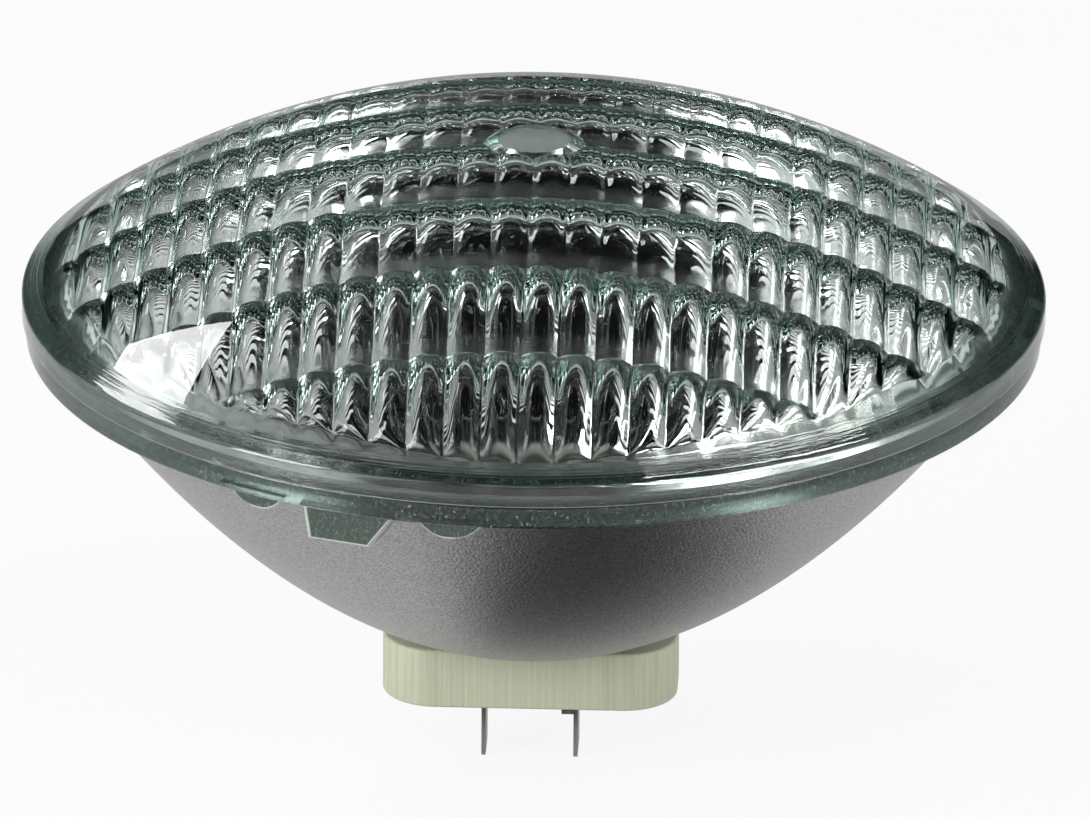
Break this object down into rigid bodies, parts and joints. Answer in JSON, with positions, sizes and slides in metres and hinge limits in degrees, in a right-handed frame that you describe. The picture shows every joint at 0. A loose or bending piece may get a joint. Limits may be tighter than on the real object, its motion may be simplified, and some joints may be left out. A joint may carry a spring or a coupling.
{
  "type": "sealed-beam reflector lamp",
  "caption": "Round sealed-beam reflector lamp with a domed fluted glass lens, pressed glass mirror bowl, coiled filament and a ceramic cap with flat contact blades.",
  "frame": {"origin": "middle of the ceramic cap's rear face, on the lamp axis", "axes": "+Z along the lamp axis towards the lens, +X along the line from one contact blade to the other"},
  "size_m": [0.1778, 0.1778, 0.1154],
  "materials": {
    "lens_glass": "clear pressed glass, polished outside",
    "mirror_bowl": "pressed glass with a vapour-deposited mirror inside, satin grey seen from behind",
    "ceramic": "unglazed pressed ceramic",
    "cement": "matt set cement",
    "contact_metal": "nickel-plated sheet",
    "seal_metal": "satin",
    "lead_metal": "drawn",
    "tube_glass": "clear",
    "bridge_ceramic": "matt",
    "tungsten": "drawn wire"
  },
  "bodies": {
    "root": {"lens": "lens_glass", "reflector": "mirror_bowl", "cap": "ceramic", "cement": "cement", "blade_left": "contact_metal", "blade_right": "contact_metal", "ferrule_left": "seal_metal", "ferrule_right": "seal_metal", "rod_left": "lead_metal", "rod_right": "lead_metal", "exhaust_tube": "tube_glass", "bridge": "bridge_ceramic", "filament": "tungsten", "support_wire": "lead_metal"}
  },
  "joints": []
}
